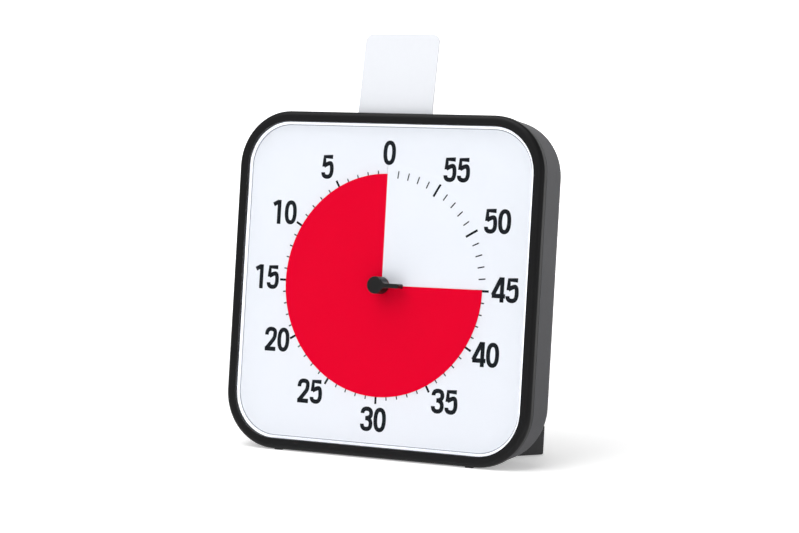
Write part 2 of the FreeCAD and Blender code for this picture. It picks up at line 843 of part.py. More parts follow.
def knob():
    """Setting knob: round hub with one fin that points at the time."""
    body = new_body("knob")
    foot = -lens_front - knob_lens_gap
    rod(body, "hub", -knob_front, knob_base, [(0, 0, knob_radius)])
    half = knob_arm_width / 2
    slab(body, "arm", -knob_front, foot, box_outline(0, knob_arm_reach, -half, half))
    joins = knob_radius.value
    round_edges(body, "fillets", knob_fillet,
                lambda edge: runs_back(edge) and abs(reach(edge) - joins) < 0.6
                and middle(edge).x > 0)
    round_edges(body, "tip", knob_tip_round,
                lambda edge: runs_back(edge) and reach(edge) > knob_arm_reach.value - 0.1)
    round_edges(body, "top", knob_top_round, lambda edge: at_depth(edge, -knob_front))
    drill(body, "bore", -spindle_front, knob_base + 1, [(0, 0, spindle_radius)])
    keep("knob", body)


knob_base = size("knob_base_depth", -1.25)
knob_tip_round = size("knob_tip_radius", 0.8)
knob_top_round = size("knob_top_radius", 0.45)
spindle_front = size("spindle_front_rise", 7.0)
collar_radius = size("spindle_collar_radius", 2.6)
collar_length = size("spindle_collar_length", 1.0)


def spindle():
    """Steel shaft from the knob to the back of the movement, flat where the film's hub slides."""
    body = new_body("spindle")
    seat = floor_back + movement_wall
    back = movement_back + movement_wall
    turned(body, "shaft", [
        (0, -spindle_front), (spindle_radius, -spindle_front), (spindle_radius, seat + fit_gap),
        (collar_radius, seat + fit_gap), (collar_radius, seat + fit_gap + collar_length),
        (spindle_radius, seat + fit_gap + collar_length), (spindle_radius, back), (0, back)])
    key = spindle_radius - flat_depth
    trench(body, "flat", knob_base, floor_back - 1,
           box_outline(key, spindle_radius + 1, -spindle_radius - 1, spindle_radius + 1))
    keep("spindle", body)


def dial_tray():
    """Tray behind the dial: flange, rim under the lens, well for the hidden film, posts."""
    body = new_body("dial_tray")
    slab(body, "plate", sheet_back, tray_back, square(skirt_inner - fit_gap))
    round_edges(body, "corners", face_corner - skirt_step - skirt_wall - fit_gap, runs_back)
    rod(body, "well_floor", tray_back - tray_thickness, floor_back,
        [(0, 0, well_radius + tray_thickness)])
    drill(body, "well", sheet_back - 1, well_floor, [(0, 0, well_radius)])
    drill(body, "eye", well_floor - 1, floor_back + 1, [(0, 0, spindle_radius + fit_gap * 4)])
    spots = corner_spots(post_at)
    rod(body, "corner_posts", tray_back, post_split, [(x, z, post_radius) for x, z in spots])
    drill(body, "pilots", post_split - tray_pilot, post_split + 1,
          [(x, z, screw_radius) for x, z in spots])
    ears = movement_spots()
    rod(body, "movement_posts", floor_back, movement_ear_back - movement_wall,
        [(x, z, board_post) for x, z in ears])
    drill(body, "movement_pilots", well_floor + 1, movement_ear_back,
          [(x, z, small_screw) for x, z in ears])
    keep("dial_tray", body)


tray_pilot = size("tray_pilot_depth", 9.6)
movement_ear = size("movement_ear_reach", 4.2)
movement_ear_back = floor_back + movement_depth / 2


def movement_spots():
    """Return the positions of the movement's four ear screws."""
    side = movement_half + movement_ear
    inset = movement_half - movement_ear * 2
    return [(-side, -inset), (side, -inset), (side, inset), (-side, inset)]


def lens_rim():
    """White step that carries the lens round the dial and hides the tray's edge."""
    body = new_body("lens_rim")
    rim_half = opening_half - fit_gap * 2
    slab(body, "ring", -lens_rest, sheet_front, square(rim_half))
    round_edges(body, "corners", opening_corner - fit_gap * 2, runs_back)
    window = new_body("lens_rim_window")
    slab(window, "opening", -lens_rest - 1, sheet_back, square(rim_half - rim_width))
    round_edges(window, "corners", opening_corner - fit_gap * 2 - rim_width, runs_back)
    cut = document.addObject("Part::Cut", "lens_rim_cut")
    cut.Base = body
    cut.Tool = window
    keep("lens_rim", cut)


def movement_base():
    """Front half of the movement: open box with bearings, ears and posts for the stator."""
    body = new_body("movement_base")
    slab(body, "block", floor_back, movement_back, square(movement_half))
    round_edges(body, "corners", movement_corner, runs_back)
    trench(body, "room", floor_back + movement_wall, movement_back + 1,
           square(movement_half - movement_wall))
    ears = movement_spots()
    reach_x = movement_half + movement_ear * 2
    for index, row in enumerate((-1, 1)):
        at = row * (movement_half - movement_ear * 2)
        for side in (-1, 1):
            slab(body, f"ear_{index}_{side + 1}", movement_ear_back - movement_wall,
                 movement_ear_back,
                 box_outline(side * (movement_half - movement_wall), side * reach_x,
                             at - movement_ear, at + movement_ear))
    drill(body, "ear_holes", movement_ear_back - movement_wall - 1, movement_ear_back + 1,
          [(x, z, small_screw + fit_gap) for x, z in ears])
    drill(body, "bearings", floor_back - 1, floor_back + movement_wall + 1, [
        (0, 0, spindle_radius + running_gap), (idler_x, idler_z, pivot_radius + running_gap),
        (rotor_x, rotor_z, pivot_radius + running_gap)])
    rod(body, "stator_posts", floor_back + movement_wall, stator_front,
        [(x, z, post_small) for x, z in stator_spots()])
    keep("movement_base", body)


movement_corner = size("movement_corner_radius", 1.5)
post_small = size("stator_post_radius", 1.3)
idler_reach = gear_module * (wheel_teeth + pinion_teeth) / 2
rotor_reach = gear_module * (reduction_teeth + pinion_teeth) / 2
idler_x = idler_reach * cos(train_angle)
idler_z = idler_reach * sin(train_angle)
rotor_x = idler_x + rotor_reach * cos(rotor_angle)
rotor_z = idler_z + rotor_reach * sin(rotor_angle)
wheel_front = floor_back + movement_wall + collar_length + fit_gap
stator_front = wheel_front + gear_width * 4
stator_thickness = size("stator_thickness", 1.0)
stator_half = size("stator_half_height", 3.8)
stator_left = size("stator_left_reach", 6.0)
stator_right = size("stator_right_x", 23.0)
rotor_radius = size("rotor_radius", 2.6)
rotor_gap = size("rotor_air_gap", 0.4)
core_half = size("coil_core_half_width", 1.2)
neck_x = size("stator_neck_x", 1.5)


def stator_spots():
    """Return the places of the two posts under the stator."""
    inset = post_small + fit_gap
    return [(rotor_x - stator_left + inset, rotor_z + stator_half - inset),
            (stator_right - inset, rotor_z)]


def movement_cover():
    """Lid of the movement, with the rear bearings."""
    body = new_body("movement_cover")
    slab(body, "plate", movement_back, movement_back + movement_wall, square(movement_half))
    round_edges(body, "corners", movement_corner, runs_back)
    drill(body, "bearings", movement_back - 1, movement_back + movement_wall + 1, [
        (0, 0, spindle_radius + running_gap), (idler_x, idler_z, pivot_radius + running_gap),
        (rotor_x, rotor_z, pivot_radius + running_gap)])
    keep("movement_cover", body)


def involute_angle(base, radius):
    """Return the polar angle of an involute of a base circle at one radius."""
    if radius <= base:
        return 0.0
    roll = math.sqrt((radius / base) ** 2 - 1)
    return roll - math.atan(roll)


ADDENDUM = 0.7
DEDENDUM = 1.0
PRESSURE = math.radians(20)
BACKLASH = 0.08


def gear_face(teeth, turn):
    """Return a spur gear's face in the plane y = 0, its first tooth at a polar angle."""
    module = gear_module.value
    pitch = module * teeth / 2
    base = pitch * math.cos(PRESSURE)
    tip = pitch + module * ADDENDUM
    root = pitch - module * DEDENDUM
    start = max(root, base)
    half_tooth = math.pi / (2 * teeth) - BACKLASH / (2 * pitch)
    flank = []
    for radius in (start, (start + tip) / 2, tip):
        lead = half_tooth + involute_angle(base, pitch) - involute_angle(base, radius)
        flank.append((radius, lead))
    side = [(root, flank[0][1])] + flank
    if root >= base:
        side = flank
    points = []
    for index in range(teeth):
        centre = turn + 2 * math.pi * index / teeth
        for radius, lead in side:
            points.append((radius, centre - lead))
        for radius, lead in reversed(side):
            points.append((radius, centre + lead))
    corners = [Vector(r * math.cos(a), 0, r * math.sin(a)) for r, a in points]
    return Part.Face(Part.makePolygon(corners + corners[:1]))


def spur(teeth, turn, front, bore):
    """Return a spur gear about the y axis from a depth back by the face width."""
    gear = gear_face(teeth, turn).extrude(BACK * gear_width.value)
    gear.translate(BACK * front)
    if bore:
        deep = Part.makeCylinder(bore, gear_width.value + 2, BACK * (front - 1), BACK)
        gear = gear.cut(deep)
    return gear


def bar(radius, front, back):
    """Return a round bar along the y axis."""
    return Part.makeCylinder(radius, back - front, BACK * front, BACK)


def mesh_turn(teeth, other_teeth, angle, other_turn):
    """Return the turn that puts a gear in mesh with one at an angle from it.

    The other gear sits at the origin and this one lies at the angle from it.
    """
    phase = (angle - other_turn) * other_teeth / teeth
    return angle + math.pi + phase + math.pi / teeth


def centre_wheel():
    """Wheel on the spindle that the train drives, held by its clutch spring."""
    front = wheel_front.value
    wheel = spur(wheel_teeth, 0, front, spindle_radius.value)
    boss = bar(clutch_radius.value, front + gear_width.value, front + gear_width.value * 2)
    boss = boss.cut(bar(spindle_radius.value, front, front + gear_width.value * 3))
    keep_shape("centre_wheel", wheel.fuse(boss).Solids[0])


clutch_radius = size("clutch_boss_radius", 3.2)
clutch_thickness = size("clutch_spring_thickness", 0.3)
clutch_reach = size("clutch_arm_reach", 4.0)
clutch_arms = 3


def clutch_spring():
    """Three-armed spring washer that presses the centre wheel on the spindle's collar."""
    body = new_body("clutch_spring")
    front = wheel_front + gear_width * 2
    back = front + clutch_thickness
    rod(body, "ring", front, back, [(0, 0, clutch_radius)])
    half = post_small / 2
    arms = []
    for index in range(clutch_arms):
        arm = new_body(f"clutch_arm_{index}")
        slab(arm, "arm", front, back, box_outline(0, clutch_reach, -half, half))
        arm.setExpression("Placement", local_text(0, 0, 0, (0, 1, 0),
                                                  index * 360 / clutch_arms))
        arms.append(arm)
    whole = document.addObject("Part::MultiFuse", "clutch_whole")
    whole.Shapes = [body] + arms
    hole = new_body("clutch_hole")
    rod(hole, "hole", front - 1, back + 1, [(0, 0, spindle_radius)])
    cut = document.addObject("Part::Cut", "clutch_spring_cut")
    cut.Base = whole
    cut.Tool = hole
    keep("clutch_spring", cut)


def idler_wheel():
    """Reduction wheel and its pinion on one arbor."""
    front = wheel_front.value
    angle = math.radians(train_angle.value)
    turn = mesh_turn(pinion_teeth, wheel_teeth, angle, 0)
    pinion = spur(pinion_teeth, turn, front, 0)
    step = gear_width.value
    wheel = spur(reduction_teeth, 0, front + step * 2, 0)
    hub = bar(pinion_hub.value, front + step, front + step * 2)
    arbor = arbor_bar()
    whole = pinion.fuse([wheel, hub, arbor]).Solids[0]
    keep_shape("idler_wheel", whole, local_text(idler_x, 0, idler_z))


pinion_hub = size("pinion_hub_radius", 1.8)


def arbor_bar():
    """Return an arbor with thin pivots that run in the movement's two plates."""
    near = floor_back.value + movement_wall.value
    far = movement_back.value
    gap = fit_gap.value
    body = bar(pivot_radius.value * 1.6, near + gap, far - gap)
    tips = bar(pivot_radius.value, floor_back.value + gap, far + movement_wall.value - gap)
    return body.fuse(tips)


def motor_rotor():
    """Stepping motor's magnet and pinion on one arbor."""
    front = wheel_front.value + gear_width.value * 2
    angle = math.radians(rotor_angle.value)
    turn = mesh_turn(pinion_teeth, reduction_teeth, angle, 0)
    pinion = spur(pinion_teeth, turn, front, 0)
    near = stator_front.value - rotor_gap.value
    magnet = bar(rotor_radius.value, near, near + rotor_gap.value * 2 + stator_thickness.value)
    whole = pinion.fuse([magnet, arbor_bar()]).Solids[0]
    keep_shape("motor_rotor", whole, local_text(rotor_x, 0, rotor_z))


def motor_stator():
    """Soft-iron plate with the rotor's hole and a thin core through the coil."""
    body = new_body("motor_stator")
    back = stator_front + stator_thickness
    slab(body, "plate", stator_front, back, [
        (rotor_x - stator_left, rotor_z - stator_half), (neck_x, rotor_z - stator_half),
        (neck_x, rotor_z - core_half), (stator_right, rotor_z - core_half),
        (stator_right, rotor_z + core_half), (neck_x, rotor_z + core_half),
        (neck_x, rotor_z + stator_half), (rotor_x - stator_left, rotor_z + stator_half)])
    drill(body, "rotor_hole", stator_front - 1, back + 1,
          [(rotor_x, rotor_z, rotor_radius + rotor_gap)])
    keep("motor_stator", body)


coil_left = size("coil_left_x", 2.4)
coil_right = size("coil_right_x", 20.0)
coil_radius = size("coil_radius", 2.9)
bobbin_flange = size("bobbin_flange", 0.8)
bobbin_wall = size("bobbin_wall", 0.5)


def coil_bobbin():
    """Square-tubed former with a flange at each end, on the stator's core."""
    body = new_body("coil_bobbin")
    tube = core_half + bobbin_wall
    mid = stator_front + stator_thickness / 2
    deep = stator_thickness / 2 + bobbin_wall
    for name, left, right, wide, thick in (
            ("tube", coil_left, coil_right, tube, deep),
            ("left_flange", coil_left, coil_left + bobbin_flange, coil_radius, coil_radius),
            ("right_flange", coil_right - bobbin_flange, coil_right, coil_radius, coil_radius)):
        sketch = outline(body, name, SIDE_PLANE, left,
                         box_outline(mid - thick, mid + thick, rotor_z - wide, rotor_z + wide))
        pad(body, sketch, right - left)
    room = outline(body, "room", SIDE_PLANE, coil_left - 1,
                   box_outline(stator_front, stator_front + stator_thickness,
                               rotor_z - core_half, rotor_z + core_half))
    pocket(body, room, coil_right - coil_left + 2, reverse=True)
    keep("coil_bobbin", body)


def coil_winding():
    """Copper winding, a closed block round the bobbin's tube."""
    body = new_body("coil_winding")
    mid = stator_front + stator_thickness / 2
    left = coil_left + bobbin_flange
    right = coil_right - bobbin_flange
    wide = coil_radius - bobbin_wall
    sketch = outline(body, "block", SIDE_PLANE, left,
                     box_outline(mid - wide, mid + wide, rotor_z - wide, rotor_z + wide))
    pad(body, sketch, right - left)
    round_edges(body, "corners", bobbin_flange,
                lambda edge: edge.BoundBox.XLength > (right - left).value - 0.1)
    tube = core_half + bobbin_wall
    deep = stator_thickness / 2 + bobbin_wall
    room = outline(body, "room", SIDE_PLANE, left - 1,
                   box_outline(mid - deep, mid + deep, rotor_z - tube, rotor_z + tube))
    pocket(body, room, right - left + 2, reverse=True)
    keep("coil_winding", body)


def circuit_board():
    """Board behind the dial that carries the sounder and the volume control."""
    body = new_body("circuit_board")
    slab(body, "board", board_depth, board_depth + board_thickness,
         box_outline(board_left, board_right, board_low, board_high))
    round_edges(body, "corners", board_corner, runs_back)
    drill(body, "holes", board_depth - 1, board_depth + board_thickness + 1,
          [(x, z, small_screw + fit_gap) for x, z in board_spots()])
    keep("circuit_board", body)


board_corner = size("board_corner_radius", 2.0)
sounder_gap = size("sounder_gap", 0.4)


def sounder():
    """Round sounder on the board, just inside the sound holes."""
    body = new_body("sounder")
    back = shell_inside - sounder_gap
    front = board_depth + board_thickness
    turned(body, "case", [
        (0, front), (sounder_radius, front), (sounder_radius, back - 1),
        (sounder_radius - 1, back), (sound_hole * 2, back), (sound_hole * 2, back - 1),
        (0, back - 1)])
    keep("sounder", body, local_text(volume_x, 0, sounder_z))


pot_half = size("volume_pot_half", 5.5)
pot_depth = size("volume_pot_depth", 2.4)
volume_shaft = size("volume_shaft_radius", 1.5)
volume_proud = size("volume_knob_proud", 2.2)
volume_ribs = 12
volume_rib_radius = size("volume_rib_radius", 0.5)


def volume_pot():
    """Volume control's body on the board, with a hole that its knob's shaft turns in."""
    body = new_body("volume_pot")
    front = board_depth + board_thickness
    slab(body, "box", front, front + pot_depth,
         box_outline(-pot_half, pot_half, -pot_half, pot_half))
    round_edges(body, "corners", board_corner / 2, runs_back)
    drill(body, "bore", front + pot_depth / 4, front + pot_depth + 1,
          [(0, 0, volume_shaft + running_gap)])
    keep("volume_pot", body, local_text(volume_x, 0, volume_z))


def volume_knob():
    """Grooved thumb knob in the back, with its shaft and a pointer groove."""
    body = new_body("volume_knob")
    seat = board_depth + board_thickness + pot_depth
    front = seat + fit_gap * 2
    back = shell_back + volume_proud
    turned(body, "turned", [
        (0, seat - pot_depth / 2), (volume_shaft, seat - pot_depth / 2), (volume_shaft, front),
        (volume_radius, front), (volume_radius, back - 1), (volume_radius - 1, back), (0, back)])
    ribs = []
    for index in range(volume_ribs):
        turn = as_size(index * 360 / volume_ribs)
        ribs.append((volume_radius * cos(turn), volume_radius * sin(turn), volume_rib_radius))
    drill(body, "grip", shell_back - 1, back + 1, ribs)
    trench(body, "pointer", back - 1, back + 1,
           box_outline(-volume_rib_radius, volume_rib_radius, volume_radius / 3, volume_radius - 2))
    keep("volume_knob", body, local_text(volume_x, 0, volume_z))


cell_nub_radius = size("battery_nub_radius", 2.7)
cell_nub = size("battery_nub_length", 1.2)
contact_thickness = size("contact_thickness", 0.5)
contact_half = size("contact_half_width", 5.0)


def battery():
    """One round dry cell lying across the bay."""
    body = new_body("battery")
    half = battery_length / 2
    turned(body, "cell", [
        (0, -half), (battery_radius - 1, -half), (battery_radius, 1 - half),
        (battery_radius, half - 1), (battery_radius - 1, half), (cell_nub_radius, half),
        (cell_nub_radius, half + cell_nub), (0, half + cell_nub)])
    keep("battery", body, local_text(0, battery_depth, battery_z, (0, 0, 1), -90))


def contact_plate():
    """Flat contact at the cell's nub, in the bay's end wall."""
    body = new_body("contact_plate")
    right = bay_half
    touch = battery_length / 2 + cell_nub
    sketch = outline(body, "plate", SIDE_PLANE, right - contact_thickness,
                     box_outline(battery_depth - contact_half, battery_depth + contact_half,
                                 battery_z - contact_half, battery_z + contact_half))
    pad(body, sketch, contact_thickness)
    button = circles(body, "button", SIDE_PLANE, touch,
                     [(battery_depth, battery_z, cell_nub_radius)])
    pad(body, button, right - contact_thickness - touch)
    keep("contact_plate", body)


def contact_spring():
    """Bent strip at the cell's flat end: a back leg on the bay's wall and a sprung leaf."""
    body = new_body("contact_spring")
    left = -bay_half
    touch = -battery_length / 2
    strip = contact_thickness
    low = battery_z - contact_half
    high = battery_z + contact_half
    slab(body, "strip", battery_depth - contact_half, battery_depth + contact_half, [
        (left, low), (left + strip * 2, low), (touch, battery_z - strip),
        (touch, battery_z + strip), (left + strip * 3, high - strip * 2),
        (left + strip * 2, high - strip * 2), (touch - strip, battery_z + strip / 2),
        (touch - strip, battery_z - strip / 2), (left + strip, low + strip * 2),
        (left + strip, high), (left, high)])
    keep("contact_spring", body)


door_gap = size("door_gap", 0.3)
door_grip = size("door_grip_width", 1.0)
door_grips = 3


def battery_door():
    """Lift-off door flush with the back, with grip grooves."""
    body = new_body("battery_door")
    margin = door_margin - door_gap
    slab(body, "plate", shell_back - door_thickness, shell_back,
         box_outline(-bay_half - margin, bay_half + margin, bay_low - margin, bay_high + margin))
    round_edges(body, "corners", door_grip, runs_back)
    for index in range(door_grips):
        low = bay_high - (index * 2 + 2) * door_grip
        trench(body, f"grip_{index}", shell_back - door_grip / 2, shell_back + 1,
               box_outline(-contact_half * 2, contact_half * 2, low, low + door_grip))
    keep("battery_door", body)


def foot(side):
    """One swing-out foot: a plate with a hinge barrel, its lower edge along the table."""
    name = "foot_left" if side < 0 else "foot_right"
    body = new_body(name)
    half = foot_thickness / 2
    tip_low = ground_low + foot_tip_back * ground_slope - foot_low
    lug_room = foot_barrel + fit_gap * 4
    barrel_low = foot_barrel_gap + foot_lug + fit_gap
    top = foot_top - foot_low
    near_low = (lug_room * sin(foot_splay)) * ground_slope
    plate = outline(body, "plate", SIDE_PLANE, -half, [
        (0, barrel_low), (lug_room, barrel_low), (lug_room, near_low),
        (foot_length, tip_low), (foot_length, top - foot_tip_drop), (foot_length / 2, top),
        (0, top)])
    pad(body, plate, foot_thickness)
    round_edges(body, "tip", foot_tip_round,
                lambda edge: edge.BoundBox.XLength > foot_thickness.value - 0.1
                and middle(edge).y > foot_length.value - 1)
    rod_up(body, "barrel", barrel_low, top, [(0, 0, foot_barrel)])
    hole = circles(body, "pin_hole", TOP_PLANE, barrel_low - 1,
                   [(0, 0, foot_pin_radius + running_gap)])
    pocket(body, hole, top + 1, reverse=True)
    keep(name, body, local_text(side * foot_x, foot_back, foot_low, (0, 0, 1),
                                -side * foot_splay))


foot_tip_round = size("foot_tip_radius", 1.0)


def foot_pin(side):
    """Hinge pin of one foot, pressed in the shell's lug and in the recess's top wall."""
    name = "foot_pin_left" if side < 0 else "foot_pin_right"
    body = new_body(name)
    low = foot_low + foot_barrel_gap
    rod_up(body, "pin", low, pin_top, [(side * foot_x, foot_back, foot_pin_radius)])
    keep(name, body)


def screws(node, spots, seat, tip, head_radius, head_height, radius, faces_back=True):
    """Make one cross-headed screw at each spot and join them in one node."""
    items = []
    for index, (x, z) in enumerate(spots):
        body = new_body(f"{node}_{index}")
        way = 1 if faces_back else -1
        top = seat + way * head_height
        turned(body, "screw", [(0, tip), (radius, tip), (radius, seat), (head_radius, seat),
                               (head_radius, top), (0, top)])
        slot = radius / 3
        arm = head_radius * 2 / 3
        low, high = (top - head_height / 2, top + 1) if faces_back else (
            top - 1, top + head_height / 2)
        trench(body, "slot", low, high, [
            (-arm, -slot), (-slot, -slot), (-slot, -arm), (slot, -arm), (slot, -slot),
            (arm, -slot), (arm, slot), (slot, slot), (slot, arm), (-slot, arm),
            (-slot, slot), (-arm, slot)])
        body.setExpression("Placement", f"{case_text()} * {local_text(x, 0, z)}")
        items.append(body)
    gather(node, items)


def fasteners():
    """Case, movement and board screws, each kind as one node."""
    screws("case_screws", corner_spots(post_at), shell_back - counterbore,
           post_split - tray_pilot + 1, screw_head, screw_head_height, screw_radius)
    screws("movement_screws", movement_spots(), movement_ear_back, floor_back,
           small_head, small_head_height, small_screw)
    screws("board_screws", board_spots(), board_depth,
           shell_inside - 2, small_head, small_head_height, small_screw, faces_back=False)


def check_and_write():
    """Stop on any broken feature, then write each piece to its own file."""
    document.recompute()
    for item in document.Objects:
        if "Invalid" in item.State or "Error" in item.State:
            raise RuntimeError(f"{item.Name} is {item.State}")
    for node, item in pieces.items():
        shape = item.Shape
        if shape.isNull() or not shape.isValid() or not shape.Solids:
            raise RuntimeError(f"{node} has no valid solid")
        shape.exportStep(f"parts/{node}.step")
        print(node, len(shape.Solids), round(shape.Volume, 1))


def build():
    """Make every piece, from the case inwards."""
    front_bezel()
    front_pads()
    rear_shell()
    message_card()
    card_pocket()
    lens()
    lens_rim()
    dial_sheet()
    dial_tray()
    red_disc()
    disc_hub()
    knob()
    spindle()
    movement_base()
    movement_cover()
    centre_wheel()
    clutch_spring()
    idler_wheel()
    motor_rotor()
    motor_stator()
    coil_bobbin()
    coil_winding()
    circuit_board()
    sounder()
    volume_pot()
    volume_knob()
    battery()
    contact_plate()
    contact_spring()
    battery_door()
    for side in (-1, 1):
        foot(side)
        foot_pin(side)
    fasteners()
    check_and_write()


build()
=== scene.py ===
"""Looks of the visual countdown timer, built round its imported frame."""

import json
import logging
import math
from collections.abc import Sequence
from dataclasses import dataclass
from enum import Enum
from typing import Protocol

import bmesh
import bpy
from mathutils import Matrix, Vector


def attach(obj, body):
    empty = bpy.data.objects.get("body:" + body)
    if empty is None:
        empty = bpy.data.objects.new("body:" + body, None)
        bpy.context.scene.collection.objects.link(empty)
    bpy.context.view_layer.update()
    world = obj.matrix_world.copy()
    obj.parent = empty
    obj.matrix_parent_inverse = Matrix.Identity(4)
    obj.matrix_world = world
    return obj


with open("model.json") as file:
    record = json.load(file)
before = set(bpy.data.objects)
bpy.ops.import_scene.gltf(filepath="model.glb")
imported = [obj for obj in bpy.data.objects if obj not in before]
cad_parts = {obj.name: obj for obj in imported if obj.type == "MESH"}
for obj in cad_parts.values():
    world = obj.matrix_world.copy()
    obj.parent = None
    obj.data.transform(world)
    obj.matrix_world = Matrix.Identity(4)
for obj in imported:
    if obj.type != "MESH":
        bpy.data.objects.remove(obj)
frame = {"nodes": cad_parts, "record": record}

LOG = logging.getLogger("timer")
MM = 0.001
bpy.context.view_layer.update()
Colour = tuple[float, float, float]
MINUTES = 60
NUMBER_STEP = 5

# Sockets of the Mix node in colour mode
MIX_FACTOR, MIX_FIRST, MIX_SECOND, MIX_RESULT = 0, 6, 7, 2


@dataclass(frozen=True)
class Grain:
    """The fine grain of a moulded surface: its noise scale, bump strength and depth."""

    scale: float
    strength: float
    depth: float


class Surface(Enum):
    """How a moulded surface is textured."""

    SATIN = Grain(2600.0, 0.10, 0.06 * MM)
    SPARK = Grain(1700.0, 0.32, 0.12 * MM)
    POLISHED = Grain(900.0, 0.03, 0.03 * MM)


class Finish(Protocol):
    """A finish that can make its material."""

    name: str

    def make(self) -> bpy.types.Material:
        """Return the material."""


class Wire:
    """A node socket with arithmetic that adds Math nodes."""

    def __init__(self, graph: "Graph", socket: bpy.types.NodeSocket) -> None:
        """Keep the graph and the socket."""
        self.graph = graph
        self.socket = socket

    def _math(self, operation: str, first: "Wire | float", second: "Wire | float") -> "Wire":
        """Add one Math node.

        Args:
            operation: The node's operation.
            first: Its first value.
            second: Its second value.

        Returns:
            The node's output.
        """
        return self.graph.node("ShaderNodeMath", {"operation": operation}, [first, second])

    def __add__(self, other: "Wire | float") -> "Wire":
        """Add a value."""
        return self._math("ADD", self, other)

    def __radd__(self, other: float) -> "Wire":
        """Add to a value."""
        return self._math("ADD", other, self)

    def __mul__(self, other: "Wire | float") -> "Wire":
        """Multiply by a value."""
        return self._math("MULTIPLY", self, other)

    def __rmul__(self, other: float) -> "Wire":
        """Multiply a value."""
        return self._math("MULTIPLY", other, self)


class Graph:
    """The node tree of one material."""

    def __init__(self, name: str) -> None:
        """Start a material with an empty tree.

        Args:
            name: The material's name.
        """
        self.material = bpy.data.materials.new(name)
        self.material.use_nodes = True
        self.tree = self.material.node_tree
        self.tree.nodes.clear()
        self.output = self.tree.nodes.new("ShaderNodeOutputMaterial")

    def node(self, kind: str, settings: dict[str, object],
             inputs: dict[str, object] | dict[int, object] | Sequence[object],
             output: int | str = 0) -> Wire:
        """Add a node, set it up and link its inputs.

        Args:
            kind: The node's type.
            settings: Its properties, set first.
            inputs: Values or wires by socket name or index, or in socket order.
            output: The name or index of the wanted output.

        Returns:
            The wanted output.
        """
        made = self.tree.nodes.new(kind)
        for name, value in settings.items():
            setattr(made, name, value)
        pairs = inputs.items() if isinstance(inputs, dict) else enumerate(inputs)
        for key, value in pairs:
            if isinstance(value, Wire):
                self.tree.links.new(value.socket, made.inputs[key])
            else:
                made.inputs[key].default_value = value
        return Wire(self, made.outputs[output])

    def place(self) -> Wire:
        """Return the object coordinates.

        Returns:
            The coordinates, in metres.
        """
        return self.node("ShaderNodeTexCoord", {}, {}, "Object")

    def noise(self, scale: float, detail: float) -> Wire:
        """Return a noise value on the object coordinates.

        Args:
            scale: How many times the noise repeats in a metre.
            detail: How many finer layers it has.

        Returns:
            A value from 0 to 1.
        """
        inputs = {"Vector": self.place(), "Scale": scale, "Detail": detail}
        return self.node("ShaderNodeTexNoise", {}, inputs, 0)

    def tint(self, mask: Wire, low: Colour, high: Colour) -> Wire:
        """Blend two colours by a mask.

        Args:
            mask: The share of the second colour.
            low: The first colour.
            high: The second colour.

        Returns:
            The blended colour.
        """
        colours = {MIX_FACTOR: mask, MIX_FIRST: (*low, 1.0), MIX_SECOND: (*high, 1.0)}
        return self.node("ShaderNodeMix", {"data_type": "RGBA"}, colours, MIX_RESULT)

    def bump(self, height: Wire, strength: float, distance: float) -> Wire:
        """Return a normal that follows a height.

        Args:
            height: The height, from 0 to 1.
            strength: The share of the bump.
            distance: The depth of a full height, in metres.

        Returns:
            The normal.
        """
        inputs = {"Height": height, "Strength": strength, "Distance": distance}
        return self.node("ShaderNodeBump", {}, inputs)

    def principled(self, **inputs: object) -> Wire:
        """Add a principled shader.

        Args:
            inputs: Values or wires by socket name, with underscores for spaces.

        Returns:
            The shader.
        """
        named = {name.replace("_", " "): value for name, value in inputs.items()}
        return self.node("ShaderNodeBsdfPrincipled", {}, named)

    def finish(self, shader: Wire) -> bpy.types.Material:
        """Link the shader to the output.

        Args:
            shader: The surface's shader.

        Returns:
            The material.
        """
        self.tree.links.new(shader.socket, self.output.inputs["Surface"])
        return self.material


def scaled(colour: Colour, factor: float) -> Colour:
    """Make a colour lighter or darker.

    Args:
        colour: The colour, linear.
        factor: What each channel is multiplied by.

    Returns:
        The new colour, no channel over 1.
    """
    red, green, blue = (min(1.0, channel * factor) for channel in colour)
    return red, green, blue


@dataclass(frozen=True)
class MouldedPlastic:
    """Opaque moulded plastic with fine grain and slightly uneven gloss.

    The tone varies by spread, mostly in broad patches and a little with the grain.
    """

    name: str
    colour: Colour
    roughness: float
    surface: Surface = Surface.SATIN
    spread: float = 0.12
    gloss: float = 0.5
    patch_scale: float = 38.0
    patch_share: float = 0.7
    roughness_spread: float = 0.1

    def make(self) -> bpy.types.Material:
        """Return the material."""
        graph = Graph(self.name)
        texture = self.surface.value
        grain = graph.noise(texture.scale, 2.0)
        wear = graph.noise(self.patch_scale, 4.0)
        low = scaled(self.colour, 1 - self.spread)
        high = scaled(self.colour, 1 + self.spread)
        shade = wear * self.patch_share + grain * (1 - self.patch_share)
        return graph.finish(graph.principled(
            Base_Color=graph.tint(shade, low, high),
            Roughness=self.roughness - self.roughness_spread / 2 + self.roughness_spread * wear,
            Specular_IOR_Level=self.gloss,
            Normal=graph.bump(grain, texture.strength, texture.depth)))


